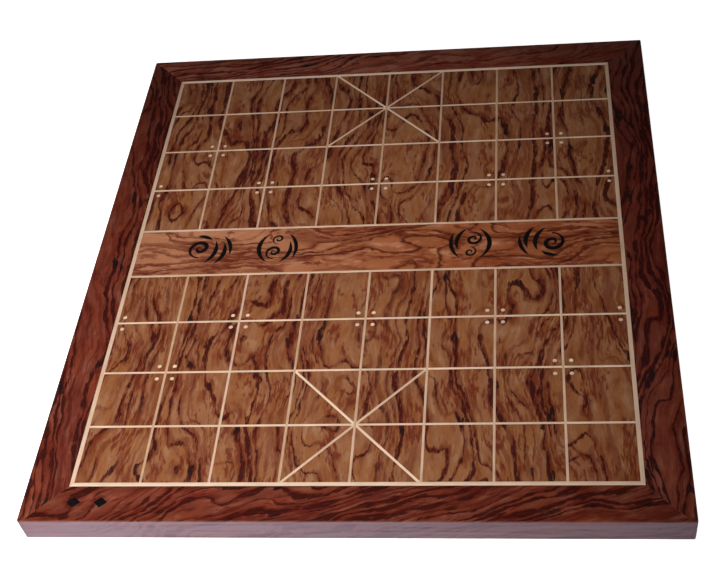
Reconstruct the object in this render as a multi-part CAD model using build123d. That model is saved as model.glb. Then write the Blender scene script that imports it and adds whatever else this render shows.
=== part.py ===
from build123d import *
import math
import os

# A framed board for xiangqi, in millimetres. The origin is at the centre of the underside,
# +X is to the right of the player at the near side, +Y is away from that player and +Z is up.

# ---- Grid ----
cell = 47.0  # between neighbouring lines, both ways
river_width = 48.6  # between the centres of the two bank lines

# ---- Frame ----
thickness = 21.3
side_margin = 31.4  # centre of the outer line to the edge of the board, left and right
back_margin = 31.5
front_margin = 28.3
corner_radius = 1.5  # upright corners
top_arris = 0.8
bottom_arris = 1.2

# ---- Panels ----
panel_thickness = 3.0
backing_thickness = 2.0
underside_recess = 1.3  # the backing lies this far above the rails' undersides
tongue_thickness = 6.0
tongue_length = 6.0
tongue_clearance = 0.1  # above and below the tongue
groove_relief = 0.5  # past the end of the tongue

# ---- Corner biscuits ----
biscuit_length = 20.0
biscuit_width = 12.0
biscuit_thickness = 4.0
biscuit_clearance = 0.1  # all round the biscuit in its slot

# ---- Inlay ----
inlay_depth = 1.5
glue_line = 0.05  # beside and below each strip, pin and ornament
border_width = 2.9
bank_width = 2.0
line_width = 1.7
diagonal_width = 1.8
pin_diameter = 3.0
pin_length = 2.4
pin_offset = 5.6  # from the centre of a line to the centre of a pin, both ways

# ---- Ornaments ----
scroll_size = 10.4  # reach of a scroll's large curl from its centre
small_curl_size = 6.6  # the same on a scroll with two curls
scroll_inset = 59.0  # from the outer line to the centre of the scroll next to it
scroll_spacing = 55.0  # between the centres of the two scrolls on one side
scroll_rise = 2.4  # above the centre line of the river
lozenge_length = 9.6
lozenge_width = 8.2
lozenge_spacing = 18.5
lozenge_inset = 14.6  # from the front edge of the board
lozenge_left = 45.1  # centre of the pair to the left edge of the board

# ---- The game's layout, which its rules fix ----
FILES = range(9)
INNER_FILES = FILES[1:-1]
FAR_RANKS = range(0, 5)
NEAR_RANKS = range(5, 10)
MIDDLE_FILE = FILES[len(FILES) // 2]
PALACE_CENTRES = {"far": FAR_RANKS[1], "near": NEAR_RANKS[-2]}
CANNON_FILES = (FILES[1], FILES[-2])
CANNON_RANKS = {"far": FAR_RANKS[2], "near": NEAR_RANKS[-3]}
SOLDIER_FILES = FILES[::2]
SOLDIER_RANKS = {"far": FAR_RANKS[3], "near": NEAR_RANKS[-4]}

# ---- Sizes that follow ----
half_grid = MIDDLE_FILE * cell
grid_depth = river_width + 2 * half_grid
width = 2 * (half_grid + side_margin)
depth = grid_depth + front_margin + back_margin
river_y = front_margin + half_grid + river_width / 2 - depth / 2
opening_x = half_grid + border_width / 2
opening_front = river_y - grid_depth / 2 - border_width / 2
opening_back = river_y + grid_depth / 2 + border_width / 2
core_bottom = underside_recess + backing_thickness
core_top = thickness - panel_thickness
core_middle = (core_bottom + core_top) / 2
groove_reach = tongue_length + groove_relief
inlay_bottom = thickness - inlay_depth
outer_scroll_x = half_grid - scroll_inset
inner_scroll_x = outer_scroll_x - scroll_spacing


def file_x(index):
    """X of the centre of a file."""
    return (index - MIDDLE_FILE) * cell


def rank_y(index):
    """Y of the centre of a rank; the far side's ranks come first."""
    if index in FAR_RANKS:
        return river_y + river_width / 2 + (FAR_RANKS[-1] - index) * cell
    return river_y - river_width / 2 - (index - NEAR_RANKS[0]) * cell


def slab(x_low, x_high, y_low, y_high, z_low, z_high):
    """A plain block between two values on each axis."""
    block = Box(x_high - x_low, y_high - y_low, z_high - z_low)
    centre = Pos((x_low + x_high) / 2, (y_low + y_high) / 2, (z_low + z_high) / 2)
    return centre * block


def prism(points, z_low, z_high):
    """An upright prism on a polygon."""
    face = make_face(Polyline(*points, close=True))
    return extrude(Pos(0, 0, z_low) * face, z_high - z_low, dir=(0, 0, 1))


def inlay(face, extra_depth=0.0):
    """A flat face made into an inlaid piece, or into its pocket with some extra depth."""
    bottom = inlay_bottom - extra_depth
    return extrude(Pos(0, 0, bottom) * face, thickness - bottom, dir=(0, 0, 1))


# ---- Frame ----
def frame_blank():
    """The outside of the whole frame, with its upright corners and arrises rounded."""
    blank = slab(-width / 2, width / 2, -depth / 2, depth / 2, 0, thickness)
    blank = fillet(blank.edges().filter_by(Axis.Z), corner_radius)
    blank = fillet(blank.faces().sort_by(Axis.Z)[-1].edges(), top_arris)
    return fillet(blank.faces().sort_by(Axis.Z)[0].edges(), bottom_arris)


def opening_corner(x_side, y_side):
    """A corner of the opening inside the rails; the sides are -1 or 1."""
    return (x_side * opening_x, opening_back if y_side > 0 else opening_front)


def beyond_corner(x_side, y_side):
    """A point on the mitre line of that corner, past the outer faces."""
    x, y = opening_corner(x_side, y_side)
    reach = side_margin + front_margin + back_margin
    return (x + x_side * reach, y + y_side * reach)


def rail_plan(side):
    """The four corners of a rail's plan, which ends in two mitres at 45 degrees."""
    ends = {
        "left": ((-1, -1), (-1, 1)),
        "right": ((1, 1), (1, -1)),
        "back": ((-1, 1), (1, 1)),
        "front": ((1, -1), (-1, -1)),
    }[side]
    first, last = ends
    return [
        opening_corner(*first),
        opening_corner(*last),
        beyond_corner(*last),
        beyond_corner(*first),
    ]


def core_groove():
    """The groove that runs round inside the rails for the core's tongue."""
    return slab(
        -opening_x - groove_reach,
        opening_x + groove_reach,
        opening_front - groove_reach,
        opening_back + groove_reach,
        core_middle - tongue_thickness / 2 - tongue_clearance,
        core_middle + tongue_thickness / 2 + tongue_clearance,
    )


def biscuit(x_side, y_side, clearance=0.0):
    """A lens-shaped biscuit across a mitre, between the groove and the outer corner."""
    rail_width = (back_margin if y_side > 0 else front_margin) - border_width / 2
    from_corner = (groove_reach + rail_width) / math.sqrt(2)
    half_length = biscuit_length / 2 + clearance
    half_width = biscuit_width / 2 + clearance
    height = biscuit_thickness + 2 * clearance
    tips = (-half_length, 0), (half_length, 0)
    outline = ThreePointArc(tips[0], (0, half_width), tips[1])
    outline += ThreePointArc(tips[1], (0, -half_width), tips[0])
    lens = extrude(make_face(outline), height / 2, both=True)
    x, y = opening_corner(x_side, y_side)
    angle = math.degrees(math.atan2(y_side, x_side))
    place = Pos(x, y, thickness / 2) * Rot(0, 0, angle) * Pos(from_corner, 0, 0)
    return place * lens


def rail(side, blank):
    """One rail of the frame, mitred, grooved for the core and slotted for its biscuits."""
    piece = blank & prism(rail_plan(side), 0, thickness)
    piece -= core_groove()
    for x_side in (-1, 1):
        for y_side in (-1, 1):
            piece -= biscuit(x_side, y_side, biscuit_clearance)
    if side == "front":
        for face in lozenge_faces():
            piece -= inlay(face, glue_line)
    return piece


# ---- Panels ----
def across_opening(y_low, y_high, z_low, z_high):
    """A sheet as wide as the opening."""
    return slab(-opening_x, opening_x, y_low, y_high, z_low, z_high)


def core_board():
    """The board's stable core, with a tongue all round."""
    sheet = across_opening(opening_front, opening_back, core_bottom, core_top)
    tongue = slab(
        -opening_x - tongue_length,
        opening_x + tongue_length,
        opening_front - tongue_length,
        opening_back + tongue_length,
        core_middle - tongue_thickness / 2,
        core_middle + tongue_thickness / 2,
    )
    return sheet + tongue


def backing_panel():
    """The panel under the core that balances the ones above it."""
    return across_opening(opening_front, opening_back, underside_recess, core_bottom)


def field_panel(half):
    """The playing panel of one half, with grooves and holes for its inlay."""
    if half == "far":
        y_low, y_high = rank_y(FAR_RANKS[-1]), opening_back
    else:
        y_low, y_high = opening_front, rank_y(NEAR_RANKS[0])
    panel = across_opening(y_low, y_high, core_top, thickness)
    panel -= border_rebate() + bank_line(FAR_RANKS[-1], glue_line)
    panel -= bank_line(NEAR_RANKS[0], glue_line)
    for index in INNER_FILES:
        panel -= file_bar(index, half, glue_line)
    for index in inner_ranks(half):
        panel -= rank_bar(index, glue_line)
    for slope in (1, -1):
        panel -= diagonal_bar(half, slope, glue_line)
    for points in (cannon_points(half), soldier_points(half)):
        for x, y in pin_places(points):
            panel -= pin(x, y, glue_line)
    return panel


def river_panel():
    """The panel between the banks, with pockets for its scrolls."""
    y_low, y_high = rank_y(NEAR_RANKS[0]), rank_y(FAR_RANKS[-1])
    panel = across_opening(y_low, y_high, core_top, thickness)
    panel -= border_rebate() + bank_line(FAR_RANKS[-1], glue_line)
    panel -= bank_line(NEAR_RANKS[0], glue_line)
    for number in SCROLL_PLACES:
        for face in scroll_faces(number):
            panel -= inlay(face, glue_line)
    return panel


# ---- Lines ----
def inner_ranks(half):
    """The ranks of one half between its bank and the border."""
    return FAR_RANKS[1:-1] if half == "far" else NEAR_RANKS[1:-1]


def border_rebate():
    """The rebate round the panels' edges in which the border strips lie."""
    bottom = inlay_bottom - glue_line
    inset = border_width + glue_line
    outer = across_opening(opening_front, opening_back, bottom, thickness)
    inner = slab(
        inset - opening_x,
        opening_x - inset,
        opening_front + inset,
        opening_back - inset,
        bottom,
        thickness,
    )
    return outer - inner


def border_strip(side):
    """One side of the border line, mitred at both ends."""
    x_out, x_in = opening_x, opening_x - border_width
    front_out, front_in = opening_front, opening_front + border_width
    back_out, back_in = opening_back, opening_back - border_width
    plan = {
        "left": ((-x_out, front_out), (-x_in, front_in), (-x_in, back_in), (-x_out, back_out)),
        "right": ((x_out, front_out), (x_out, back_out), (x_in, back_in), (x_in, front_in)),
        "back": ((-x_out, back_out), (-x_in, back_in), (x_in, back_in), (x_out, back_out)),
        "front": ((-x_out, front_out), (x_out, front_out), (x_in, front_in), (-x_in, front_in)),
    }[side]
    return prism(plan, inlay_bottom, thickness)


def line_slab(x_low, x_high, y_low, y_high, clearance):
    """A straight strip along an axis, or its groove where a clearance is given."""
    return slab(
        x_low - clearance,
        x_high + clearance,
        y_low - clearance,
        y_high + clearance,
        inlay_bottom - clearance,
        thickness,
    )


def bank_line(index, clearance=0.0):
    """The line along one bank of the river, from border to border."""
    reach = opening_x - border_width
    y = rank_y(index)
    return line_slab(-reach, reach, y - bank_width / 2, y + bank_width / 2, clearance)


def file_bar(index, half, clearance=0.0):
    """A file from the border to the bank."""
    x = file_x(index)
    if half == "far":
        y_low = rank_y(FAR_RANKS[-1]) + bank_width / 2
        y_high = opening_back - border_width
    else:
        y_low = opening_front + border_width
        y_high = rank_y(NEAR_RANKS[0]) - bank_width / 2
    return line_slab(x - line_width / 2, x + line_width / 2, y_low, y_high, clearance)


def rank_bar(index, clearance=0.0):
    """A rank from border to border, before it is cut at the files."""
    reach = opening_x - border_width
    y = rank_y(index)
    return line_slab(-reach, reach, y - line_width / 2, y + line_width / 2, clearance)


def diagonal_bar(half, slope, clearance=0.0):
    """A palace diagonal from corner to corner, before it is cut at the files and ranks."""
    length = 2 * cell * math.sqrt(2) + 2 * clearance
    bar = Box(length, diagonal_width + 2 * clearance, inlay_depth + clearance)
    z = thickness - (inlay_depth + clearance) / 2
    centre = Pos(file_x(MIDDLE_FILE), rank_y(PALACE_CENTRES[half]), z)
    return centre * Rot(0, 0, slope * 45) * bar


def rank_strip(index, half):
    """A rank in lengths that lie between the files."""
    strip = rank_bar(index)
    for file_index in INNER_FILES:
        strip -= file_bar(file_index, half)
    return strip


def diagonal_strip(half, slope):
    """A palace diagonal in lengths that lie between the files and ranks."""
    strip = diagonal_bar(half, slope)
    for index in INNER_FILES:
        strip -= file_bar(index, half)
    for index in inner_ranks(half):
        strip -= rank_bar(index)
    for side in ("back", "front"):
        strip -= border_strip(side)
    return strip


# ---- Pins ----
def cannon_points(half):
    """The two points of one half where the cannons start."""
    y = rank_y(CANNON_RANKS[half])
    return [(file_x(index), y) for index in CANNON_FILES]


def soldier_points(half):
    """The five points of one half where the soldiers start."""
    y = rank_y(SOLDIER_RANKS[half])
    return [(file_x(index), y) for index in SOLDIER_FILES]


def pin_places(points):
    """Where the pins round each point go: one in each corner that lies inside the border."""
    places = []
    for x, y in points:
        for x_step in (-pin_offset, pin_offset):
            if abs(x + x_step) < half_grid:
                places += [(x + x_step, y - pin_offset), (x + x_step, y + pin_offset)]
    return places


def pin(x, y, clearance=0.0):
    """A round pin, or its hole where a clearance is given."""
    length = pin_length + clearance
    shape = Cylinder(pin_diameter / 2 + clearance, length)
    return Pos(x, y, thickness - length / 2) * shape


def pins(points):
    """The pins round a row of points."""
    return Compound([pin(x, y) for x, y in pin_places(points)])


# ---- Ornaments ----
# The stops of a curl are where its edges cross its own X axis, in parts of its size.
CURL_OUTER = (-1.0, 0.78, -0.48, 0.22)
CURL_INNER = (-0.86, 0.42, -0.18, 0.14)


def curl(size, direction=1):
    """A curl of half circles that swells and tapers; direction -1 turns it the other way."""
    edges = []
    for tip in (0, -1):
        edges.append(Line((CURL_OUTER[tip] * size, 0), (CURL_INNER[tip] * size, 0)))
    for stops in (CURL_OUTER, CURL_INNER):
        bow = direction
        for start, end in zip(stops, stops[1:]):
            radius = abs(end - start) / 2
            top = ((start + end) / 2 * size, bow * radius * size)
            edges.append(ThreePointArc((start * size, 0), top, (end * size, 0)))
            bow = -bow
    return make_face(edges)


def crescent(start, end, outer_bow, inner_bow):
    """The shape between two arcs that share their ends; a bow is an arc's height at its middle."""
    x_half, y_half = (end[0] - start[0]) / 2, (end[1] - start[1]) / 2
    half_chord = math.hypot(x_half, y_half)
    edges = []
    for bow in (outer_bow, inner_bow):
        x_bow, y_bow = -bow * y_half / half_chord, bow * x_half / half_chord
        middle = (start[0] + x_half + x_bow, start[1] + y_half + y_bow)
        edges.append(ThreePointArc(start, middle, end))
    return make_face(edges)


def wave_scroll():
    """One large curl with three strokes of water below it."""
    s = scroll_size
    return [
        Pos(0.15 * s, 0.72 * s) * curl(s),
        crescent((-1.35 * s, 0.3 * s), (0.95 * s, -0.35 * s), -0.62 * s, -0.26 * s),
        crescent((-1.45 * s, -0.5 * s), (0.7 * s, -1.05 * s), -0.56 * s, -0.2 * s),
        crescent((1.02 * s, -0.1 * s), (1.45 * s, 1.1 * s), -0.28 * s, 0.06 * s),
        crescent((-0.6 * s, -1.6 * s), (1.4 * s, -0.95 * s), -0.42 * s, -0.12 * s),
    ]


def cloud_scroll():
    """Two curls in a row under an arch, with two strokes of water below them."""
    s = small_curl_size
    return [
        Pos(-0.6 * s, 0.45 * s) * curl(1.15 * s),
        Pos(1.45 * s, 0.1 * s) * curl(0.85 * s),
        crescent((-2.3 * s, 1.0 * s), (2.4 * s, 1.1 * s), 1.55 * s, 1.0 * s),
        crescent((-2.3 * s, -0.25 * s), (1.1 * s, -1.25 * s), -0.9 * s, -0.4 * s),
        crescent((-1.8 * s, -1.75 * s), (2.4 * s, -1.0 * s), -0.95 * s, -0.48 * s),
    ]


# Each scroll's X, its kind and the way that its top faces, in degrees from +Y.
SCROLL_PLACES = {
    1: (-outer_scroll_x, wave_scroll, 90),
    2: (-inner_scroll_x, cloud_scroll, 90),
    3: (inner_scroll_x, cloud_scroll, -90),
    4: (outer_scroll_x, wave_scroll, -90),
}


def scroll_faces(number):
    """The flat faces of one scroll where it lies in the river."""
    x, kind, turn = SCROLL_PLACES[number]
    return [Pos(x, river_y + scroll_rise) * Rot(0, 0, turn) * face for face in kind()]


def lozenge_faces():
    """The two plain lozenges at the left end of the front rail."""
    faces = []
    for side in (-1, 1):
        x = lozenge_left - width / 2 + side * lozenge_spacing / 2
        y = lozenge_inset - depth / 2
        points = [
            (x - lozenge_length / 2, y),
            (x, y - lozenge_width / 2),
            (x + lozenge_length / 2, y),
            (x, y + lozenge_width / 2),
        ]
        faces.append(make_face(Polyline(*points, close=True)))
    return faces


def inlaid(faces):
    """Flat faces made into inlaid pieces that lie in one group."""
    return Compound([solid for face in faces for solid in inlay(face).solids()])


# ---- The whole board ----
def build_nodes():
    """Every node by its name."""
    nodes = {}
    blank = frame_blank()
    for side in ("left", "right", "back", "front"):
        nodes[f"{side}_rail"] = rail(side, blank)
        nodes[f"{side}_border_strip"] = border_strip(side)
    for y_name, y_side in (("back", 1), ("front", -1)):
        for x_name, x_side in (("left", -1), ("right", 1)):
            nodes[f"{y_name}_{x_name}_biscuit"] = biscuit(x_side, y_side)
    nodes["core_board"] = core_board()
    nodes["backing_panel"] = backing_panel()
    nodes["river_panel"] = river_panel()
    for half in ("far", "near"):
        nodes[f"{half}_field_panel"] = field_panel(half)
        bank = FAR_RANKS[-1] if half == "far" else NEAR_RANKS[0]
        nodes[f"{half}_bank_strip"] = bank_line(bank)
        for index in INNER_FILES:
            nodes[f"{half}_file_strip_{index}"] = file_bar(index, half)
        for index in inner_ranks(half):
            nodes[f"rank_strip_{index}"] = rank_strip(index, half)
        nodes[f"{half}_palace_rising_diagonal"] = diagonal_strip(half, 1)
        nodes[f"{half}_palace_falling_diagonal"] = diagonal_strip(half, -1)
        nodes[f"{half}_cannon_pins"] = pins(cannon_points(half))
        nodes[f"{half}_soldier_pins"] = pins(soldier_points(half))
    for number in SCROLL_PLACES:
        nodes[f"river_scroll_{number}"] = inlaid(scroll_faces(number))
    nodes["front_rail_lozenges"] = inlaid(lozenge_faces())
    return nodes


os.makedirs("parts", exist_ok=True)
for name, shape in build_nodes().items():
    export_step(shape, f"parts/{name}.step")
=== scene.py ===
import math
from collections import namedtuple

import bmesh
import bpy
from bpy.props import FloatProperty, FloatVectorProperty, IntProperty, PointerProperty
from mathutils import Matrix, Vector


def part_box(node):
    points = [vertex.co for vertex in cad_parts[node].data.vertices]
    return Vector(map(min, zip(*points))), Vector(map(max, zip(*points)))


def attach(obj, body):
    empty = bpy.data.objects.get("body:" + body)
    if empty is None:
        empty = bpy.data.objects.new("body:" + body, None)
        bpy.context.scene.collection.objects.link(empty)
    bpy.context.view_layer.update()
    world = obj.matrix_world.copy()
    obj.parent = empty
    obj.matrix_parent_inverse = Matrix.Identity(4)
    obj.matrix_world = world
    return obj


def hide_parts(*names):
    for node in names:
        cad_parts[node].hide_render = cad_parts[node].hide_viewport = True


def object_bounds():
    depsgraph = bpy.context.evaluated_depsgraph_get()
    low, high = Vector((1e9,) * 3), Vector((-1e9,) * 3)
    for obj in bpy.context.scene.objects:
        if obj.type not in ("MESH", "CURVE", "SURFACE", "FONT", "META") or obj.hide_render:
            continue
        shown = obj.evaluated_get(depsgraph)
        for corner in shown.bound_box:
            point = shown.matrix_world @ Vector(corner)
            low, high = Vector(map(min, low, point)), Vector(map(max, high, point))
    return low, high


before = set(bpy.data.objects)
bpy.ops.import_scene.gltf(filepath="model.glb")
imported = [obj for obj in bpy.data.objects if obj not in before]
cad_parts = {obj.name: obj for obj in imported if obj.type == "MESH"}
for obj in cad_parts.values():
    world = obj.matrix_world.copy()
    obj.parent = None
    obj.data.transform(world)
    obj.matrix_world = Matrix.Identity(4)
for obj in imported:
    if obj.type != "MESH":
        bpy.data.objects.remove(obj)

bl_info = {
    "name": "Xiangqi board",
    "version": (1, 0, 0),
    "blender": (4, 5, 0),
    "location": "3D Viewport > Sidebar > Xiangqi board",
    "description": "Dresses a rosewood xiangqi board: panels, mitred rails, boxwood lines and pins",
    "category": "Add Mesh",
}

MM = 0.001
WELD_DISTANCE = 1e-6
FLAT_ANGLE = math.radians(0.5)
SHARP_ANGLE = math.radians(33)
GROWN_SHARP_ANGLE = math.radians(40)
OWN_TONE = "own_tone"  # the attribute that gives each strip or pin a tone of its own


def painted(red, green, blue):
    """A colour from its 0 to 255 values, turned to the scene's linear ones."""
    def linear(value):
        share = value / 255
        return share / 12.92 if share <= 0.04045 else ((share + 0.055) / 1.055) ** 2.4
    return (linear(red), linear(green), linear(blue), 1.0)


# ---------------------------------------------------------------- sizes that the frame gives

HALF_WIDTH, HALF_DEPTH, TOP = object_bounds()[1]
FIRST_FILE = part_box("far_file_strip_1")
SECOND_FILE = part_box("far_file_strip_2")
CELL = SECOND_FILE[0].x - FIRST_FILE[0].x


# ---------------------------------------------------------------- what a user would change

def colour(name, description, value):
    return FloatVectorProperty(name=name, description=description, subtype="COLOR", size=4,
                               min=0.0, max=1.0, default=value)


def length(name, description, value):
    return FloatProperty(name=name, description=description, default=value, min=0.0,
                         unit="LENGTH", subtype="DISTANCE")


def power(name, description, value):
    return FloatProperty(name=name, description=description, default=value, min=0.0, unit="POWER")


class BoardSizes(bpy.types.PropertyGroup):
    """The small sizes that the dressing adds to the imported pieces."""
    strip_ease: length("Strip ease", "Rounding along the long edges of each inlaid strip", 0.10 * MM)
    inlay_ease: length("Inlay ease", "Bevel round the black scrolls and lozenges", 0.10 * MM)
    joint_ease: length("Joint ease", "Bevel on both sides of each mitre of the frame", 0.12 * MM)
    pin_ease: length("Pin ease", "How far the crown of a pin falls towards its rim", 0.16 * MM)
    pin_sides: IntProperty(name="Pin sides", description="Flats round each pin", default=24, min=8)


class BoardColours(bpy.types.PropertyGroup):
    """The colours of the woods, as they are under the polish, with two that paint light: the glare on
    the upright faces and the sheen of the boxwood strips that lie across.
    """
    field_ground: colour("Field ground", "Main brown of the two playing panels", painted(151, 99, 66))
    field_light: colour("Field light", "Paler patches in the playing panels", painted(169, 123, 90))
    field_warm: colour("Field warm", "Golden patches in the playing panels", painted(149, 91, 49))
    field_shade: colour("Field shade", "Darker patches in the playing panels", painted(117, 57, 30))
    river_ground: colour("River ground", "Main colour of the river panel", painted(167, 97, 61))
    river_light: colour("River light", "Paler patches in the river panel", painted(202, 142, 108))
    river_warm: colour("River warm", "Redder patches in the river panel", painted(146, 69, 36))
    frame_ground: colour("Frame ground", "Main red-brown of the rails", painted(119, 57, 40))
    frame_light: colour("Frame light", "Paler patches in the rails", painted(142, 86, 66))
    frame_warm: colour("Frame warm", "Redder patches in the rails", painted(130, 57, 33))
    frame_shade: colour("Frame shade", "Darker patches in the rails", painted(78, 20, 11))
    frame_fade: colour("Frame fade", "Dark red beside each line in the rails", painted(94, 24, 11))
    frame_dark: colour("Frame lines", "Dark lines of the rails' figure", painted(45, 4, 1))
    fade_red: colour("Figure fade", "Dark red beside each line of the figure", painted(106, 36, 15))
    line_dark: colour("Figure lines", "Dark lines of the rosewood's figure", painted(62, 8, 2))
    streak_dark: colour("Figure streaks", "Near-black streaks of the rosewood", painted(24, 8, 8))
    # painted glare: this lilac-grey on the upright faces stands in for light that they reflect
    side_painted_glare: colour("Side painted glare", "Waxy grey that lies on the upright faces", painted(128, 106, 117))
    # painted sheen: a paler copy of the boxwood, for strips whose grain lies across the light
    boxwood_sheen_lit: colour("Pale boxwood", "Strips that lie across the board", painted(240, 208, 180))
    boxwood: colour("Boxwood", "Strips that lie along the board", painted(222, 188, 160))
    boxwood_shade: colour("Boxwood shade", "Darker grain of the boxwood", painted(196, 156, 122))
    pin_wood: colour("Pin wood", "End grain of the pins", painted(238, 212, 178))
    ebony: colour("Ebony", "Scrolls and lozenges", painted(9, 7, 7))
    ebony_grain: colour("Ebony grain", "Paler grain of the scrolls and lozenges", painted(34, 24, 21))
    core_wood: colour("Core wood", "Edge of the core board", painted(196, 164, 122))


class StageSettings(bpy.types.PropertyGroup):
    """Floor, lamps and camera."""
    key_power: power("Key power", "Power of the large lamp over the near left corner", 1.49)
    front_power: power("Front power", "Power of the low lamp in front", 0.72)
    far_power: power("Far power", "Power of the lamp whose glare lies on the near half", 0.5)
    sky: FloatProperty(name="Sky", description="Strength of the grey surroundings",
                       default=0.10, min=0.0)
    lens: FloatProperty(name="Lens", description="Focal length on a 36 mm sensor", default=61.07,
                        min=1.0, unit="CAMERA")
    lens_shift: FloatProperty(name="Lens shift", description="Sideways shift, as a share of the sensor",
                              default=-0.0361)
    floor_colour: colour("Floor", "Plain pale floor", (0.84, 0.84, 0.84, 1.0))


# ---------------------------------------------------------------- node helpers

def node(tree, kind, inputs=None, **settings):
    """Adds one node; an input is a value or the socket that feeds it."""
    made = tree.nodes.new(kind)
    for name, value in settings.items():
        setattr(made, name, value)
    for key, value in (inputs or {}).items():
        if isinstance(value, bpy.types.NodeSocket):
            tree.links.new(value, made.inputs[key])
        else:
            made.inputs[key].default_value = value
    return made


def maths(tree, operation, *values, clamp=False):
    made = node(tree, "ShaderNodeMath", dict(enumerate(values)), operation=operation, use_clamp=clamp)
    return made.outputs[0]


def product(tree, first, second):
    return maths(tree, "MULTIPLY", first, second)


def total(tree, first, second, clamp=False):
    return maths(tree, "ADD", first, second, clamp=clamp)


def hypotenuse(tree, first, second):
    squares = [maths(tree, "POWER", value, 2.0) for value in (first, second)]
    return maths(tree, "SQRT", total(tree, *squares))


def vector_maths(tree, operation, *values):
    made = node(tree, "ShaderNodeVectorMath", dict(enumerate(values)), operation=operation)
    return made.outputs[0]


def noise(tree, vector, scale=1.0, detail=2.0, roughness=0.5, dimensions="3D"):
    key = "W" if dimensions == "1D" else "Vector"
    made = node(tree, "ShaderNodeTexNoise", {key: vector, "Scale": scale, "Detail": detail,
                                            "Roughness": roughness}, noise_dimensions=dimensions)
    return made.outputs["Fac"]


def step(tree, value, low, high):
    """0 below low, 1 above high, smooth between; low may be above high."""
    made = node(tree, "ShaderNodeMapRange", {"Value": value, "From Min": low, "From Max": high},
                interpolation_type="SMOOTHSTEP")
    return made.outputs["Result"]


def blend(tree, factor, first, second):
    """One colour laid over another; a colour mix has its colours on sockets 6 and 7."""
    made = node(tree, "ShaderNodeMix", {0: factor, 6: first, 7: second}, data_type="RGBA",
                blend_type="MIX", clamp_factor=True)
    return made.outputs[2]


def split(tree, vector):
    """The X, Y and Z of a vector."""
    return node(tree, "ShaderNodeSeparateXYZ", {"Vector": vector}).outputs


def joined(tree, **axes):
    """A vector from any of X, Y and Z."""
    return node(tree, "ShaderNodeCombineXYZ", axes).outputs[0]


def new_group(name, kind, inputs, outputs):
    """A node group with named sockets; returns the tree, its input sockets and its output node."""
    tree = bpy.data.node_groups.new(name, kind)
    for title, socket_kind, value in inputs:
        socket = tree.interface.new_socket(title, in_out="INPUT", socket_type="NodeSocket" + socket_kind)
        if value is not None:
            socket.default_value = value
    for title, socket_kind in outputs:
        tree.interface.new_socket(title, in_out="OUTPUT", socket_type="NodeSocket" + socket_kind)
    return tree, tree.nodes.new("NodeGroupInput").outputs, tree.nodes.new("NodeGroupOutput")


def placed(tree, group, inputs):
    """The outputs of a group placed in a tree with these inputs."""
    return node(tree, "ShaderNodeGroup", inputs, node_tree=group).outputs


# ---------------------------------------------------------------- shader groups

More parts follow.
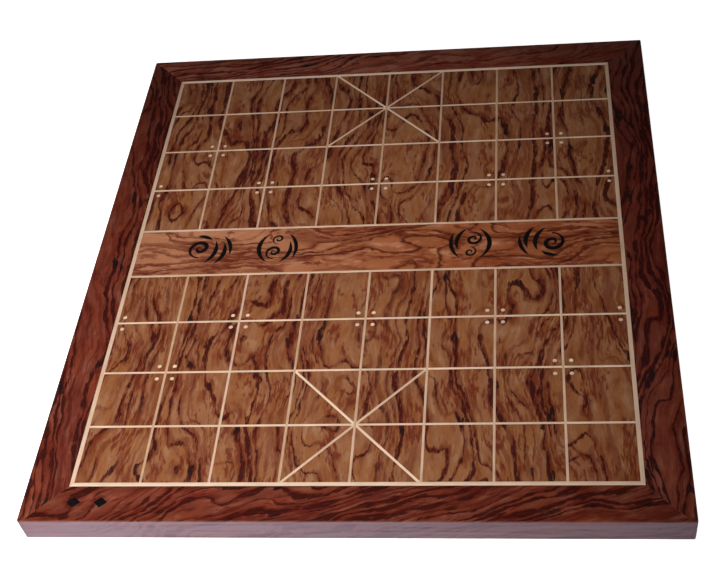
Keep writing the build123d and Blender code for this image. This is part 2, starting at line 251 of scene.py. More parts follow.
def rosewood_figure():
    """Figure of rosewood: wavy dark lines with a red fade beside them, frayed by fibres that run
    along Y. Its sizes are millimetres, each patch being given across the fibres and along them."""
    found = bpy.data.node_groups.get("rosewood figure")
    if found:
        return found
    tree, given, out = new_group(
        "rosewood figure", "ShaderNodeTree",
        [("Vector", "Vector", None), ("Seed", "Float", 0.0), ("Swirl", "Float", 20.0),
         ("Slope", "Float", 0.75), ("Line spacing", "Float", 9.0), ("Line width", "Float", 2.0),
         ("Fraying", "Float", 0.8), ("Swellings", "Float", 0.5), ("Flecks", "Float", 0.5),
         ("Faint lines", "Float", 0.1), ("Fade reach", "Float", 3.5), ("Breaks", "Float", 1.0)],
        [("Tone", "Float"), ("Warmth", "Float"), ("Lines", "Float"), ("Fade", "Float"),
         ("Flecks", "Float"), ("Swellings", "Float"), ("Fibres", "Float"), ("Pores", "Float")])

    def times(first, second):
        return product(tree, first, second)

    def plus(first, second):
        return total(tree, first, second)

    def less(first, second):
        return maths(tree, "SUBTRACT", first, second)

    spot = vector_maths(tree, "SCALE", given["Vector"])
    spot.node.inputs["Scale"].default_value = 1 / MM
    shift = joined(tree, X=times(given["Seed"], 317.0), Y=times(given["Seed"], 173.0),
                   Z=times(given["Seed"], 91.0))
    spot = vector_maths(tree, "ADD", spot, shift)

    def patches(across, along, detail, roughness=0.5, place=spot):
        """A noise whose patches are this many millimetres across the fibres and along them."""
        stretched = vector_maths(tree, "DIVIDE", place, (across, along, across))
        return noise(tree, stretched, detail=detail, roughness=roughness)

    def swing(value, reach):
        """A noise turned into a swing of about reach either way."""
        return times(times(less(value, 0.5), 3.0), reach)

    def growth(place):
        """The height of the growth layers at a place; the lines are its contours."""
        axes = split(tree, place)
        height = plus(times(axes["X"], given["Slope"]), axes["Z"])
        for across, along, reach in ((52.0, 120.0, 1.0), (18.0, 42.0, 0.34)):
            wave = patches(across, along, detail=0.0, place=place)
            height = plus(height, swing(wave, times(given["Swirl"], reach)))
        return height

    # how steeply the layers climb, so that a line keeps its width wherever it lies
    here = growth(spot)
    climb = [less(growth(vector_maths(tree, "ADD", spot, one_on)), here)
             for one_on in ((1.0, 0.0, 0.0), (0.0, 1.0, 0.0))]
    steep = maths(tree, "MAXIMUM", hypotenuse(tree, *climb), 0.15)

    # each line has a number of its own, a strength, and a distance that grows away from it
    wiggle = plus(swing(patches(6.0, 15.0, detail=1.0), 1.6),
                  swing(patches(1.8, 8.0, detail=2.0, roughness=0.6), given["Fraying"]))
    ring = maths(tree, "DIVIDE", plus(here, times(wiggle, steep)), given["Line spacing"])
    uneven = noise(tree, times(ring, 0.6), detail=1.0, dimensions="1D")
    ring = plus(ring, swing(uneven, 0.35))
    number = plus(maths(tree, "FLOOR", ring), given["Seed"])
    chance = node(tree, "ShaderNodeTexWhiteNoise", {"W": number}, noise_dimensions="1D")
    strength = step(tree, chance.outputs["Value"], given["Faint lines"], 0.75)
    ends = step(tree, patches(9.0, 34.0, detail=1.0), 0.52, 0.36)
    strength = times(strength, less(1.0, times(ends, given["Breaks"])))
    away = less(maths(tree, "FRACT", ring), 0.5)
    away = maths(tree, "DIVIDE", times(away, given["Line spacing"]), steep)

    # the lines, thick and thin, swollen here and broken there
    thick = step(tree, patches(6.0, 17.0, detail=2.0), 0.32, 0.68)
    limit = less(0.80, times(given["Swellings"], 0.18))
    swell = step(tree, patches(9.0, 20.0, detail=1.0), limit, plus(limit, 0.12))
    half = times(times(given["Line width"], 0.5),
                 times(plus(times(strength, 0.75), 0.35), plus(times(thick, 1.3), 0.30)))
    half = plus(half, times(swell, times(strength, 1.8)))
    broken = times(given["Breaks"], step(tree, patches(1.1, 6.0, detail=2.0), 0.50, 0.32))
    lines = step(tree, maths(tree, "ABSOLUTE", away), plus(half, 0.30), less(half, 0.25))
    lines = times(times(less(1.0, broken), lines), step(tree, strength, 0.0, 0.30))

    # the fade, which reaches further on one side of a line than on the other
    broad = step(tree, patches(15.0, 36.0, detail=1.0), 0.36, 0.66)
    reach = plus(half, times(given["Fade reach"], plus(broad, 0.35)))
    fade = step(tree, away, reach, times(reach, 0.35))
    fade = times(fade, step(tree, away, times(reach, -0.60), times(reach, -0.25)))
    fade = times(fade, plus(times(strength, 0.4), 0.6))
    fade = times(fade, step(tree, patches(1.3, 9.0, detail=2.0), 0.20, 0.46))

    # flecks and tone, which follow the lines a little
    axes = split(tree, spot)
    flow = joined(tree, X=plus(times(axes["X"], 0.75), times(here, 0.6)), Y=axes["Y"], Z=axes["Z"])
    crowd = step(tree, patches(16.0, 30.0, detail=1.0), 0.36, 0.62)
    limit = less(0.74, times(crowd, times(given["Flecks"], 0.34)))
    fleck = patches(1.9, 8.0, detail=2.0, roughness=0.55, place=flow)

    made = {
        "Tone": patches(5.5, 20.0, detail=3.0, roughness=0.6, place=flow),
        "Warmth": patches(9.0, 24.0, detail=2.0),
        "Lines": lines,
        "Fade": fade,
        "Flecks": step(tree, fleck, limit, plus(limit, 0.16)),
        "Swellings": times(lines, swell),
        "Fibres": patches(0.42, 9.0, detail=2.0),
        "Pores": step(tree, patches(0.26, 3.2, detail=1.0), 0.66, 0.74),
    }
    for title, value in made.items():
        tree.links.new(value, out.inputs[title])
    return tree


def box_arris_and_glare():
    """How much lighter the board's outer arrises are, in patches, and where the upright faces carry a
    painted glare, a lilac-grey that stands in for light they reflect.
    """
    found = bpy.data.node_groups.get("box arris and glare")
    if found:
        return found
    tree, given, out = new_group(
        "box arris and glare", "ShaderNodeTree",
        [("Vector", "Vector", None), ("Normal", "Vector", None), ("Half width", "Float", HALF_WIDTH),
         ("Half depth", "Float", HALF_DEPTH), ("Height", "Float", TOP), ("Reach", "Float", 1.3 * MM)],
        [("Arris", "Float"), ("Painted glare", "Float")])
    spot = split(tree, given["Vector"])
    side = maths(tree, "SUBTRACT", given["Half width"], maths(tree, "ABSOLUTE", spot["X"]))
    end = maths(tree, "SUBTRACT", given["Half depth"], maths(tree, "ABSOLUTE", spot["Y"]))
    below = maths(tree, "SUBTRACT", given["Height"], spot["Z"])
    away = hypotenuse(tree, maths(tree, "MINIMUM", side, end), below)
    patchy = noise(tree, given["Vector"], scale=120.0, detail=3.0)
    arris = product(tree, step(tree, away, given["Reach"], 0.0), step(tree, patchy, 0.25, 0.6))
    facing = maths(tree, "ABSOLUTE", split(tree, given["Normal"])["Z"])
    streaked = vector_maths(tree, "MULTIPLY", given["Vector"], (14.0, 14.0, 420.0))
    streaks = step(tree, noise(tree, streaked, detail=3.0), -0.1, 0.70)
    # painted glare on every upright face, in faint streaks
    painted_glare = product(tree, step(tree, facing, 0.75, 0.15), streaks)
    tree.links.new(arris, out.inputs["Arris"])
    tree.links.new(painted_glare, out.inputs["Painted glare"])
    return tree


def polish():
    """Unevenness of a rubbed polish: faint smears in its gloss and a slow ripple."""
    found = bpy.data.node_groups.get("rubbed polish")
    if found:
        return found
    tree, given, out = new_group(
        "rubbed polish", "ShaderNodeTree",
        [("Vector", "Vector", None), ("Roughness", "Float", 0.35), ("Smears", "Float", 0.08)],
        [("Roughness", "Float"), ("Height", "Float")])
    smear = noise(tree, given["Vector"], scale=38.0, detail=4.0, roughness=0.6)
    dust = noise(tree, given["Vector"], scale=900.0, detail=2.0)
    mixed = total(tree, product(tree, smear, 0.7), product(tree, dust, 0.3))
    swing = product(tree, maths(tree, "SUBTRACT", mixed, 0.5), given["Smears"])
    roughness = total(tree, given["Roughness"], swing, clamp=True)
    ripple = noise(tree, given["Vector"], scale=260.0, detail=2.0)
    tree.links.new(roughness, out.inputs["Roughness"])
    tree.links.new(ripple, out.inputs["Height"])
    return tree


# ---------------------------------------------------------------- materials

def new_material(name):
    material = bpy.data.materials.new(name)
    material.use_nodes = True
    tree = material.node_tree
    tree.nodes.clear()
    surface = node(tree, "ShaderNodeBsdfPrincipled")
    node(tree, "ShaderNodeOutputMaterial", {"Surface": surface.outputs[0]})
    coords = node(tree, "ShaderNodeTexCoord").outputs
    return material, tree, surface, coords


def fibres_turned(tree, coords, turn):
    """Object coordinates turned so that fibres which lie at turn from the Y axis run along Y."""
    return node(tree, "ShaderNodeMapping", {"Vector": coords["Object"], "Rotation": (0.0, 0.0, -turn)},
                vector_type="POINT").outputs[0]


def finished(tree, surface, base, roughness, height, strength, depth):
    """Gives a surface its colour, its roughness and a relief of this strength and depth."""
    bump = node(tree, "ShaderNodeBump", {"Strength": strength, "Distance": depth, "Height": height})
    tree.links.new(base, surface.inputs["Base Color"])
    tree.links.new(roughness, surface.inputs["Roughness"])
    tree.links.new(bump.outputs[0], surface.inputs["Normal"])


Drift = namedtuple("Drift", "axis start end tint depth lines_lost", defaults=(0.0,))


def rosewood(name, tints, colours, turn=0.0, seed=0.0, swirl=20.0, slope=0.75, spacing=9.0,
             line_width=2.0, fraying=0.8, swellings=0.5, flecks=0.5, faint=0.1, fade_reach=3.5,
             breaks=1.0, line_depth=0.97, rough=0.36, shine=0.17, drift=None, on_frame=False):
    """A polished rosewood; tints are its ground, light, warm and shade, and turn is how far its
    fibres lie from the Y axis. Its tone may drift along an axis of the board, from the start to the
    end of the change: to a tint, by a depth, with a share of the lines lost there."""
    ground, light, warm, shade = tints
    material, tree, surface, coords = new_material(name)
    figure = placed(tree, rosewood_figure(), {
        "Vector": fibres_turned(tree, coords, turn), "Seed": seed, "Swirl": swirl, "Slope": slope,
        "Line spacing": spacing, "Line width": line_width, "Fraying": fraying, "Swellings": swellings,
        "Flecks": flecks, "Faint lines": faint, "Fade reach": fade_reach, "Breaks": breaks})

    def laid(mask, depth, under, over):
        return blend(tree, product(tree, mask, depth), under, over)

    base = laid(step(tree, figure["Warmth"], 0.42, 0.62), 0.80, ground, warm)
    base = laid(step(tree, figure["Tone"], 0.50, 0.72), 0.80, base, light)
    base = laid(step(tree, figure["Tone"], 0.50, 0.30), 0.80, base, shade)
    lines = figure["Lines"]
    # on the rails the drift is painted shade, darker where the light falls off; on the river it makes
    # the panel paler towards its left end
    if drift:
        drifted = step(tree, split(tree, coords["Object"])[drift.axis], drift.start, drift.end)
        base = laid(drifted, drift.depth, base, drift.tint)
        kept = maths(tree, "SUBTRACT", 1.0, product(tree, drifted, drift.lines_lost))
        lines = product(tree, lines, kept)
    red = colours.frame_fade if on_frame else colours.fade_red
    dark = colours.frame_dark if on_frame else colours.line_dark
    base = laid(figure["Fade"], 0.85, base, red)
    base = laid(step(tree, figure["Fibres"], 0.58, 0.30), 0.30, base, shade)
    base = laid(figure["Flecks"], 0.85, base, red)
    base = laid(lines, line_depth, base, dark)
    base = laid(figure["Swellings"], 0.92, base, colours.streak_dark)
    base = laid(figure["Pores"], 0.45, base, colours.streak_dark)
    gloss = placed(tree, polish(), {"Vector": coords["Object"], "Roughness": rough})
    height = total(tree, product(tree, gloss["Height"], 0.5), product(tree, figure["Pores"], -1.0))
    height = total(tree, height, product(tree, figure["Fibres"], 0.25))
    roughness = total(tree, gloss["Roughness"], product(tree, lines, 0.25), clamp=True)
    if on_frame:
        edge_and_glare_masks = placed(tree, box_arris_and_glare(), {"Vector": coords["Object"], "Normal": coords["Normal"]})
        # the upright faces take the painted glare, a lilac-grey in place of reflected light
        base = laid(edge_and_glare_masks["Painted glare"], 0.92, base, colours.side_painted_glare)
        # the outer arrises lighter in patches
        base = laid(edge_and_glare_masks["Arris"], 0.5, base, colours.frame_light)
        roughness = total(tree, roughness, product(tree, edge_and_glare_masks["Painted glare"], 0.12), clamp=True)
    finished(tree, surface, base, roughness, height, 0.25, 0.05 * MM)
    surface.inputs["Specular IOR Level"].default_value = shine
    return material


def boxwood(name, light, dark, turn=0.0, rough=0.42, grain=(900.0, 60.0, 900.0)):
    """Pale close-grained wood; each strip or pin has its own tone."""
    material, tree, surface, coords = new_material(name)
    lying = fibres_turned(tree, coords, turn)
    grained = noise(tree, vector_maths(tree, "MULTIPLY", lying, grain), detail=3.0)
    cloudy = noise(tree, lying, scale=45.0, detail=2.0)
    own = node(tree, "ShaderNodeAttribute", attribute_name=OWN_TONE).outputs["Fac"]
    mixed = total(tree, product(tree, grained, 0.5), product(tree, cloudy, 0.5))
    mixed = total(tree, mixed, product(tree, own, 0.3))
    base = blend(tree, step(tree, mixed, 0.40, 0.85), light, dark)
    gloss = placed(tree, polish(), {"Vector": coords["Object"], "Roughness": rough})
    finished(tree, surface, base, gloss["Roughness"], grained, 0.2, 0.03 * MM)
    return material


def ebony(name, ink, pale):
    """Black wood with a faint paler grain along X and hardly any shine."""
    material, tree, surface, coords = new_material(name)
    along_x = vector_maths(tree, "MULTIPLY", coords["Object"], (90.0, 1400.0, 1400.0))
    grained = noise(tree, along_x, detail=3.0)
    base = blend(tree, product(tree, step(tree, grained, 0.5, 0.8), 0.35), ink, pale)
    gloss = placed(tree, polish(), {"Vector": coords["Object"], "Roughness": 0.5})
    finished(tree, surface, base, gloss["Roughness"], grained, 0.25, 0.03 * MM)
    surface.inputs["Specular IOR Level"].default_value = 0.1
    return material


# ---------------------------------------------------------------- mesh helpers

def dressed_copy(name, ease, material):
    """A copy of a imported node, its doubles merged, with a small bevel on every sharp edge."""
    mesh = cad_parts[name].data.copy()
    mesh.name = name + "_dressed"
    shape = bmesh.new()
    shape.from_mesh(mesh)
    bmesh.ops.remove_doubles(shape, verts=shape.verts, dist=WELD_DISTANCE)
    bmesh.ops.dissolve_limit(shape, angle_limit=FLAT_ANGLE, verts=shape.verts, edges=shape.edges)
    sharp = [e for e in shape.edges if len(e.link_faces) == 2 and e.calc_face_angle() > SHARP_ANGLE]
    bmesh.ops.bevel(shape, geom=sharp, offset=ease, segments=2, profile=0.5, affect="EDGES",
                    clamp_overlap=True)
    shape.to_mesh(mesh)
    shape.free()
    mesh.materials.clear()
    mesh.materials.append(material)
    mesh.shade_smooth()
    mesh.set_sharp_from_angle(angle=SHARP_ANGLE)
    piece = bpy.data.objects.new(mesh.name, mesh)
    bpy.context.scene.collection.objects.link(piece)
    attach(piece, "root")
    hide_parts(name)


def finish_node(name, material):
    """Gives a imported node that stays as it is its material."""
    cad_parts[name].material_slots[0].material = material


def pin_tops(name):
    """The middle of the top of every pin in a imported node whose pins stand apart."""
    shape = bmesh.new()
    shape.from_mesh(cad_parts[name].data)
    bmesh.ops.remove_doubles(shape, verts=shape.verts, dist=WELD_DISTANCE)
    tops = []
    left = set(shape.verts)
    while left:
        pin, edge = set(), [left.pop()]
        while edge:
            vertex = edge.pop()
            pin.add(vertex)
            near = [e.other_vert(vertex) for e in vertex.link_edges]
            edge += [v for v in near if v in left]
            left.difference_update(near)
        low = Vector(min(v.co[i] for v in pin) for i in range(3))
        high = Vector(max(v.co[i] for v in pin) for i in range(3))
        tops.append(((low.x + high.x) / 2, (low.y + high.y) / 2, TOP))
    shape.free()
    return tops


# ---------------------------------------------------------------- geometry nodes

def random_number(tree, seed, low=0.0, high=1.0):
    """A number of its own for each instance; a float has its limits on sockets 2 and 3."""
    return node(tree, "FunctionNodeRandomValue", {"Seed": seed, 2: low, 3: high},
                data_type="FLOAT").outputs[1]


def with_own_tone(tree, instances, seed):
    """Stores a random tone on each instance."""
    return node(tree, "GeometryNodeStoreNamedAttribute",
                {"Geometry": instances, "Name": OWN_TONE, "Value": random_number(tree, seed)},
                data_type="FLOAT", domain="INSTANCE").outputs[0]


def strip_rows():
    """Rows of eased strips: strips run along Y, then all are turned and set on their centre."""
    found = bpy.data.node_groups.get("strip rows")
    if found:
        return found
    tree, given, out = new_group(
        "strip rows", "GeometryNodeTree",
        [("Geometry", "Geometry", None), ("Strip length", "Float", 0.18),
         ("Strip width", "Float", 1.7 * MM), ("Strip depth", "Float", 1.5 * MM),
         ("Ease", "Float", 0.1 * MM), ("Across", "Int", 7), ("Across pitch", "Float", CELL),
         ("Along", "Int", 1), ("Along pitch", "Float", CELL), ("Turn", "Float", 0.0),
         ("Centre", "Vector", None), ("Seed", "Int", 1), ("Material", "Material", None)],
        [("Geometry", "Geometry")])
    half = product(tree, given["Strip length"], 0.5)
    run = node(tree, "GeometryNodeCurvePrimitiveLine", {
        "Start": joined(tree, Y=product(tree, half, -1.0)), "End": joined(tree, Y=half)}).outputs[0]
    run = node(tree, "GeometryNodeSetCurveNormal", {"Curve": run}, mode="Z_UP").outputs[0]
    section = node(tree, "GeometryNodeCurvePrimitiveQuadrilateral",
                   {"Width": given["Strip width"], "Height": given["Strip depth"]}).outputs[0]
    section = node(tree, "GeometryNodeFilletCurve",
                   {"Curve": section, "Radius": given["Ease"], "Count": 2}, mode="POLY").outputs[0]
    strip = node(tree, "GeometryNodeCurveToMesh",
                 {"Curve": run, "Profile Curve": section, "Fill Caps": True}).outputs[0]
    gaps_across = maths(tree, "SUBTRACT", given["Across"], 1.0)
    gaps_along = maths(tree, "SUBTRACT", given["Along"], 1.0)
    grid = node(tree, "GeometryNodeMeshGrid", {
        "Size X": product(tree, gaps_across, given["Across pitch"]),
        "Size Y": product(tree, gaps_along, given["Along pitch"]),
        "Vertices X": given["Across"], "Vertices Y": given["Along"]}).outputs[0]
    points = node(tree, "GeometryNodeMeshToPoints", {"Mesh": grid}).outputs[0]
    rows = node(tree, "GeometryNodeInstanceOnPoints", {"Points": points, "Instance": strip}).outputs[0]
    rows = with_own_tone(tree, rows, given["Seed"])
    rows = node(tree, "GeometryNodeRealizeInstances", {"Geometry": rows}).outputs[0]
    rows = node(tree, "GeometryNodeTransform", {
        "Geometry": rows, "Translation": given["Centre"],
        "Rotation": joined(tree, Z=given["Turn"])}).outputs[0]
    rows = node(tree, "GeometryNodeSetMaterial",
                {"Geometry": rows, "Material": given["Material"]}).outputs[0]
    tree.links.new(rows, out.inputs[0])
    return tree


def pins_at_points():
    """A crowned pin at every vertex of the mesh, the vertex being the middle of its top."""
    found = bpy.data.node_groups.get("pins at points")
    if found:
        return found
    tree, given, out = new_group(
        "pins at points", "GeometryNodeTree",
        [("Geometry", "Geometry", None), ("Pin radius", "Float", 1.5 * MM),
         ("Pin length", "Float", 2.4 * MM), ("Crown", "Float", 0.16 * MM), ("Sides", "Int", 24),
         ("Seed", "Int", 5), ("Material", "Material", None)],
        [("Geometry", "Geometry")])
    rim = maths(tree, "SUBTRACT", given["Pin length"], given["Crown"])
    stem = node(tree, "GeometryNodeMeshCylinder",
                {"Vertices": given["Sides"], "Radius": given["Pin radius"], "Depth": rim},
                fill_type="NGON").outputs[0]
    drop = product(tree, total(tree, product(tree, rim, 0.5), given["Crown"]), -1.0)
    stem = node(tree, "GeometryNodeTransform",
                {"Geometry": stem, "Translation": joined(tree, Z=drop)}).outputs[0]
    facing = split(tree, node(tree, "GeometryNodeInputNormal").outputs[0])["Z"]
    pin, top = stem, maths(tree, "GREATER_THAN", facing, 0.9)
    # the crown rises in two rings, the second smaller than the first
    for rise, scale in ((0.45, 0.86), (0.55, 0.55)):
        grown = node(tree, "GeometryNodeExtrudeMesh", {
            "Mesh": pin, "Selection": top, "Offset Scale": product(tree, given["Crown"], rise)},
            mode="FACES").outputs
        top = grown["Top"]
        pin = node(tree, "GeometryNodeScaleElements",
                   {"Geometry": grown["Mesh"], "Selection": top, "Scale": scale}).outputs[0]
    pin = node(tree, "GeometryNodeSetShadeSmooth", {"Geometry": pin, "Shade Smooth": True}).outputs[0]
    points = node(tree, "GeometryNodeMeshToPoints", {"Mesh": given["Geometry"]}).outputs[0]
    spin = random_number(tree, given["Seed"], high=6.28)
    pins = node(tree, "GeometryNodeInstanceOnPoints",
                {"Points": points, "Instance": pin, "Rotation": joined(tree, Z=spin)}).outputs[0]
    pins = with_own_tone(tree, pins, total(tree, given["Seed"], 7.0))
    pins = node(tree, "GeometryNodeRealizeInstances", {"Geometry": pins}).outputs[0]
    pins = node(tree, "GeometryNodeSetMaterial",
                {"Geometry": pins, "Material": given["Material"]}).outputs[0]
    tree.links.new(pins, out.inputs[0])
    return tree


def grown_piece(name, tree, values, points, stands_for):
    """Runs a tree on a piece, keeps its result as a plain mesh and lets it stand for its nodes."""
    mesh = bpy.data.meshes.new(name)
    mesh.from_pydata(points, [], [])
    piece = bpy.data.objects.new(name, mesh)
    bpy.context.scene.collection.objects.link(piece)
    modifier = piece.modifiers.new("build", "NODES")
    modifier.node_group = tree
    sockets = {item.name: item.identifier for item in tree.interface.items_tree
               if item.in_out == "INPUT"}
    for title, value in values.items():
        modifier[sockets[title]] = value
    graph = bpy.context.evaluated_depsgraph_get()
    result = bpy.data.meshes.new_from_object(piece.evaluated_get(graph), preserve_all_data_layers=True,
                                             depsgraph=graph)
    result.name = name
    # the bare points bring an empty material slot of their own
    while result.materials[0] is None:
        result.materials.pop(index=0)
    piece.modifiers.clear()
    piece.data = result
    result.set_sharp_from_angle(angle=GROWN_SHARP_ANGLE)
    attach(piece, "root")
    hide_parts(*stands_for)


# ---------------------------------------------------------------- operators

def frame_tints(colours):
    """Ground, light, warm and shade of the rails."""
    return colours.frame_ground, colours.frame_light, colours.frame_warm, colours.frame_shade


class BOARD_OT_frame(bpy.types.Operator):
    """Dresses the four mitred rails of the frame"""
    bl_idname = "board.frame"
    bl_label = "Frame rails"

    def execute(self, context):
        colours, sizes = context.scene.board_colours, context.scene.board_sizes
        usual = frame_tints(colours)
        ground, light, warm, shade = usual
        pale = (light, light, warm, ground)
        # each drift is painted shade: the side rails darken towards the far end and the back rail
        # towards the right
        rails = {
            "left_rail": (usual, dict(turn=math.radians(5), seed=7.9, swirl=15.0, slope=1.15,
                                      line_width=2.3, line_depth=0.92,
                                      drift=Drift("Y", 0.02, 0.20, shade, depth=0.42))),
            "right_rail": (usual, dict(turn=math.radians(-3), seed=10.2, swirl=19.0, slope=1.0,
                                       line_width=2.3,
                                       drift=Drift("Y", -0.55, 0.30, shade, depth=0.58))),
            "back_rail": (pale, dict(turn=math.radians(100), seed=3.1, swirl=14.0, slope=1.1,
                                     line_width=1.9, line_depth=0.85,
                                     drift=Drift("X", 0.04, 0.18, shade, depth=0.5))),
            "front_rail": (usual, dict(turn=math.radians(110), seed=4.7, swirl=16.0, slope=1.1,
                                       line_width=2.3, line_depth=0.82)),
        }
        for name, (tints, values) in rails.items():
            wood = rosewood(name + "_rosewood", tints, colours, spacing=6.4, fraying=1.0,
                            swellings=1.0, flecks=0.85, faint=-0.1, fade_reach=2.6, breaks=0.5,
                            shine=0.12, on_frame=True, **values)
            dressed_copy(name, sizes.joint_ease, wood)
        return {"FINISHED"}


class BOARD_OT_field(bpy.types.Operator):
    """Gives the two playing panels their figured rosewood"""
    bl_idname = "board.field"
    bl_label = "Playing panels"

    def execute(self, context):
        colours = context.scene.board_colours
        tints = (colours.field_ground, colours.field_light, colours.field_warm, colours.field_shade)
        for name, seed in (("near_field_panel", 35.6), ("far_field_panel", 21.4)):
            wood = rosewood(name + "_rosewood", tints, colours, seed=seed, swirl=20.0, slope=0.75,
                            spacing=7.6, line_width=2.3, fraying=1.3, faint=0.12, swellings=1.0,
                            flecks=0.90, fade_reach=3.6, breaks=0.9)
            finish_node(name, wood)
        return {"FINISHED"}


class BOARD_OT_river(bpy.types.Operator):
    """Gives the river panel its redder rosewood, which lies across the board"""
    bl_idname = "board.river"
    bl_label = "River panel"

    def execute(self, context):
        colours = context.scene.board_colours
        tints = (colours.river_ground, colours.river_light, colours.river_warm, colours.field_warm)
        wood = rosewood("river_panel_rosewood", tints, colours, turn=math.radians(88), seed=8.4,
                        swirl=20.0, slope=0.7, spacing=4.6, line_width=1.6, fraying=1.6, faint=0.1,
                        flecks=0.9, fade_reach=3.4, line_depth=0.72, breaks=0.5,
                        drift=Drift("X", 0.04, -0.14, colours.river_light, depth=0.50,
                                    lines_lost=0.50))
        finish_node("river_panel", wood)
        return {"FINISHED"}


class BOARD_OT_border(bpy.types.Operator):
    """Lays the border strips, the two bank lines and the palace diagonals"""
    bl_idname = "board.border"
    bl_label = "Border, banks and diagonals"

    def execute(self, context):
        colours, sizes = context.scene.board_colours, context.scene.board_sizes
        # pale is the boxwood with painted sheen; the back and front border strips, the ranks and the
        # falling diagonals take it
        usual, pale = (colours.boxwood, colours.boxwood_shade), (colours.boxwood_sheen_lit, colours.boxwood)
        woods = {}
        for way, turn, tints in (("along", 0, usual), ("across", 90, pale), ("bank", 90, usual),
                                 ("rising", -45, usual), ("falling", 45, pale)):
            woods[way] = boxwood("boxwood_" + way, *tints, turn=math.radians(turn))
        lying = {"left_border_strip": "along", "right_border_strip": "along",
                 "back_border_strip": "across", "front_border_strip": "across",
                 "far_bank_strip": "bank", "near_bank_strip": "bank",
                 "far_palace_rising_diagonal": "rising", "near_palace_rising_diagonal": "rising",
                 "far_palace_falling_diagonal": "falling", "near_palace_falling_diagonal": "falling"}
        for name, way in lying.items():
            dressed_copy(name, sizes.strip_ease, woods[way])
        return {"FINISHED"}


class BOARD_OT_lines(bpy.types.Operator):
    """Lays the file lines and the rank lines of both halves"""
    bl_idname = "board.lines"
    bl_label = "Files and ranks"

    def execute(self, context):
        sizes = context.scene.board_sizes
        # the rank lines take the boxwood across, with its painted sheen
        along, across = bpy.data.materials["boxwood_along"], bpy.data.materials["boxwood_across"]
        tree = strip_rows()
        depth = FIRST_FILE[1].z - FIRST_FILE[0].z
        files = range(1, 8)
        for half, ranks, seed in (("far", (1, 2, 3), 11), ("near", (6, 7, 8), 12)):
            strips = [f"{half}_file_strip_{n}" for n in files]
            first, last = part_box(strips[0]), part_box(strips[-1])
            file_width = first[1].x - first[0].x
            grown_piece(half + "_file_lines", tree, {
                "Strip length": first[1].y - first[0].y, "Strip width": file_width,
                "Strip depth": depth, "Ease": sizes.strip_ease, "Across": len(files),
                "Across pitch": CELL, "Along": 1, "Along pitch": CELL, "Turn": 0.0,
                "Centre": (first[0] + last[1]) / 2, "Seed": seed, "Material": along},
                [(0, 0, 0)], strips)
            rows = [f"rank_strip_{n}" for n in ranks]
            top_rank, low_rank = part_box(rows[0]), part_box(rows[-1])
            grown_piece(half + "_rank_lines", tree, {
                "Strip length": CELL - file_width, "Strip width": top_rank[1].y - top_rank[0].y,
                "Strip depth": depth, "Ease": sizes.strip_ease, "Across": len(ranks),
                "Across pitch": CELL, "Along": len(files) + 1, "Along pitch": CELL,
                "Turn": math.radians(90), "Centre": (low_rank[0] + top_rank[1]) / 2,
                "Seed": seed + 10, "Material": across},
                [(0, 0, 0)], rows)
        return {"FINISHED"}


class BOARD_OT_pins(bpy.types.Operator):
    """Sets the round pins about the cannon and soldier points"""
    bl_idname = "board.pins"
    bl_label = "Pins"

    def execute(self, context):
        colours, sizes = context.scene.board_colours, context.scene.board_sizes
        material = boxwood("pin_boxwood", colours.pin_wood, colours.boxwood, rough=0.38,
                           grain=(1600.0, 1600.0, 300.0))
        nodes = ("far_cannon_pins", "far_soldier_pins", "near_cannon_pins", "near_soldier_pins")
        tops = {name: pin_tops(name) for name in nodes}
        low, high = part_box(nodes[0])
        rows = [y for _, y, _ in tops[nodes[0]]]
        # a node's box reaches one radius past its outer rows of pins
        radius = (high.y - low.y - (max(rows) - min(rows))) / 2
        grown_piece("point_pins", pins_at_points(), {
            "Pin radius": radius, "Pin length": high.z - low.z, "Crown": sizes.pin_ease,
            "Sides": sizes.pin_sides, "Seed": 5, "Material": material},
            sorted(sum(tops.values(), [])), nodes)
        return {"FINISHED"}


class BOARD_OT_scrolls(bpy.types.Operator):
    """Inlays the black scrolls of the river and the lozenges of the front rail"""
    bl_idname = "board.scrolls"
    bl_label = "Scrolls and lozenges"

    def execute(self, context):
        colours, sizes = context.scene.board_colours, context.scene.board_sizes
        black = ebony("ebony", colours.ebony, colours.ebony_grain)
        for name in ("river_scroll_1", "river_scroll_2", "river_scroll_3", "river_scroll_4",
                     "front_rail_lozenges"):
            dressed_copy(name, sizes.inlay_ease, black)
        return {"FINISHED"}


class BOARD_OT_underside(bpy.types.Operator):
    """Finishes the backing panel, the core board and the biscuits"""
    bl_idname = "board.underside"
    bl_label = "Underside and core"

    def execute(self, context):
        colours = context.scene.board_colours
        backing = rosewood("backing_rosewood_wood", frame_tints(colours), colours, seed=9.6,
                           swirl=30.0, slope=0.3, spacing=9.0, line_depth=0.5, rough=0.55)
        finish_node("backing_panel", backing)
        core = boxwood("core_wood", colours.core_wood, colours.boxwood_shade,
                       grain=(60.0, 60.0, 900.0), rough=0.7)
        for name in ("core_board", "back_left_biscuit", "back_right_biscuit", "front_left_biscuit",
                     "front_right_biscuit"):
            finish_node(name, core)
        return {"FINISHED"}


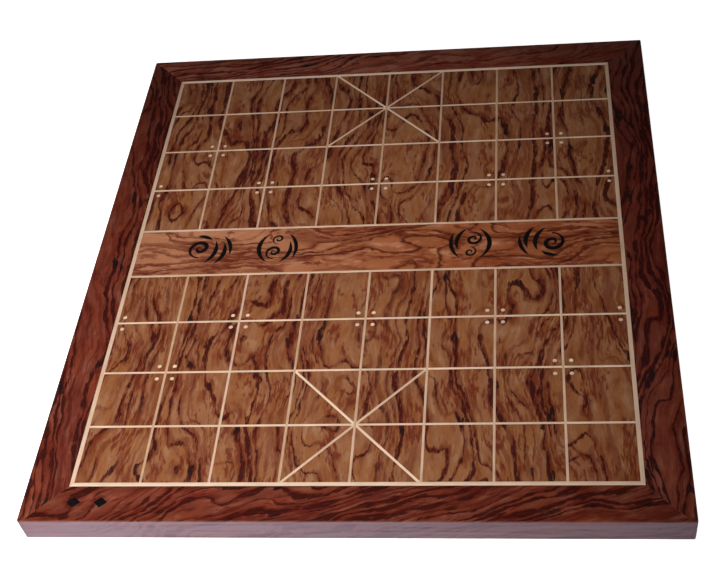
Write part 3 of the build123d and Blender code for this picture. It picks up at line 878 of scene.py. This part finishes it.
class BOARD_OT_stage(bpy.types.Operator):
    """Makes the floor, the lamps, the surroundings and the camera"""
    bl_idname = "board.stage"
    bl_label = "Stage"

    def execute(self, context):
        scene, settings = context.scene, context.scene.board_stage
        self.floor(scene, settings)
        self.surroundings(scene, settings)
        self.lamps(scene, settings)
        self.camera(scene, settings)
        scene.view_settings.view_transform = "Standard"
        return {"FINISHED"}

    def floor(self, scene, settings):
        """A plain floor that glows a little, so that it stays pale wherever it is seen."""
        reach, glow = 6.0, 0.9
        corners = [(-reach, -reach, 0), (reach, -reach, 0), (reach, reach, 0), (-reach, reach, 0)]
        mesh = bpy.data.meshes.new("floor")
        mesh.from_pydata(corners, [], [(0, 1, 2, 3)])
        floor = bpy.data.objects.new("floor", mesh)
        scene.collection.objects.link(floor)
        material = bpy.data.materials.new("floor_paint")
        material.use_nodes = True
        tree = material.node_tree
        tree.nodes.clear()
        paint = node(tree, "ShaderNodeBsdfDiffuse", {"Color": settings.floor_colour}).outputs[0]
        rays = node(tree, "ShaderNodeLightPath").outputs
        seen = maths(tree, "MAXIMUM", rays["Is Glossy Ray"], rays["Is Transmission Ray"])
        seen = maths(tree, "MAXIMUM", rays["Is Camera Ray"], seen)
        shining = node(tree, "ShaderNodeEmission", {"Strength": product(tree, seen, glow)}).outputs[0]
        both = node(tree, "ShaderNodeAddShader", {0: paint, 1: shining}).outputs[0]
        node(tree, "ShaderNodeOutputMaterial", {"Surface": both})
        mesh.materials.append(material)

    def surroundings(self, scene, settings):
        world = bpy.data.worlds.new("surroundings")
        world.use_nodes = True
        background = world.node_tree.nodes["Background"].inputs
        background["Color"].default_value = (1.0, 1.0, 1.0, 1.0)
        background["Strength"].default_value = settings.sky
        scene.world = world

    def lamps(self, scene, settings):
        """Three square lamps: their place, what they shine at, side, power, tint and spread."""
        white, cool = (1.0, 1.0, 1.0), (0.96, 0.97, 1.0)
        for name, place, aim, side, strength, tint, spread in (
                ("key_lamp", (-0.205, -0.514, 0.902), (-0.224, -0.272, 0.0), 0.8,
                 settings.key_power, white, 35),
                ("front_lamp", (-0.30, -0.70, 0.25), (-0.18, -0.24, 0.01), 0.3,
                 settings.front_power, white, 90),
                ("far_lamp", (-0.524, 0.784, 1.719), (-0.1, -0.1, 0.0), 0.6,
                 settings.far_power, cool, 120)):
            data = bpy.data.lights.new(name, "AREA")
            data.shape, data.size, data.size_y = "RECTANGLE", side, side
            data.energy, data.color, data.spread = strength, tint, math.radians(spread)
            lamp = bpy.data.objects.new(name, data)
            lamp.location = place
            lamp.rotation_euler = (Vector(aim) - Vector(place)).to_track_quat("-Z", "Y").to_euler()
            lamp.visible_camera = False
            scene.collection.objects.link(lamp)

    def camera(self, scene, settings):
        """The camera leans, so that its right side dips below the level."""
        place = Vector((0.1243, -0.6392, 0.6858))
        forward = Vector((-0.1263, 0.6616, -0.7392)).normalized()
        dip = math.radians(6.28)
        level = forward.cross(Vector((0, 0, 1))).normalized()
        lean = math.asin(math.sin(dip) / math.sqrt(1 - forward.z ** 2))
        right = (Matrix.Rotation(lean, 3, forward) @ level).normalized()
        turn = Matrix((right, right.cross(forward), -forward)).transposed()
        data = bpy.data.cameras.new("camera")
        data.sensor_width = 36.0
        data.lens = settings.lens
        data.shift_x = settings.lens_shift
        data.clip_start, data.clip_end = 0.01, 50.0
        made = bpy.data.objects.new("camera", data)
        made.matrix_world = Matrix.Translation(place) @ turn.to_4x4()
        scene.collection.objects.link(made)
        scene.camera = made


class BOARD_PT_making(bpy.types.Panel):
    """Lists what makes the board, in order"""
    bl_idname = "BOARD_PT_making"
    bl_label = "Xiangqi board"
    bl_space_type = "VIEW_3D"
    bl_region_type = "UI"
    bl_category = "Xiangqi board"

    def draw(self, context):
        layout = self.layout
        scene = context.scene
        for group in (scene.board_sizes, scene.board_colours, scene.board_stage):
            box = layout.box()
            for name in group.__annotations__:
                box.prop(group, name)
        for operator in OPERATORS:
            layout.operator(operator.bl_idname)


GROUPS = (BoardSizes, BoardColours, StageSettings)
OPERATORS = (BOARD_OT_frame, BOARD_OT_field, BOARD_OT_river, BOARD_OT_border, BOARD_OT_lines,
             BOARD_OT_pins, BOARD_OT_scrolls, BOARD_OT_underside, BOARD_OT_stage)


def register():
    for made in GROUPS + OPERATORS + (BOARD_PT_making,):
        bpy.utils.register_class(made)
    bpy.types.Scene.board_sizes = PointerProperty(type=BoardSizes)
    bpy.types.Scene.board_colours = PointerProperty(type=BoardColours)
    bpy.types.Scene.board_stage = PointerProperty(type=StageSettings)


def unregister():
    for name in ("board_sizes", "board_colours", "board_stage"):
        delattr(bpy.types.Scene, name)
    for made in reversed(GROUPS + OPERATORS + (BOARD_PT_making,)):
        bpy.utils.unregister_class(made)


def main():
    register()
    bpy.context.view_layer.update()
    bpy.ops.board.frame()
    bpy.ops.board.field()
    bpy.ops.board.river()
    bpy.ops.board.border()
    bpy.ops.board.lines()  # after the border, whose boxwood it shares
    bpy.ops.board.pins()
    bpy.ops.board.scrolls()
    bpy.ops.board.underside()
    bpy.ops.board.stage()


if __name__ == "__main__":
    main()
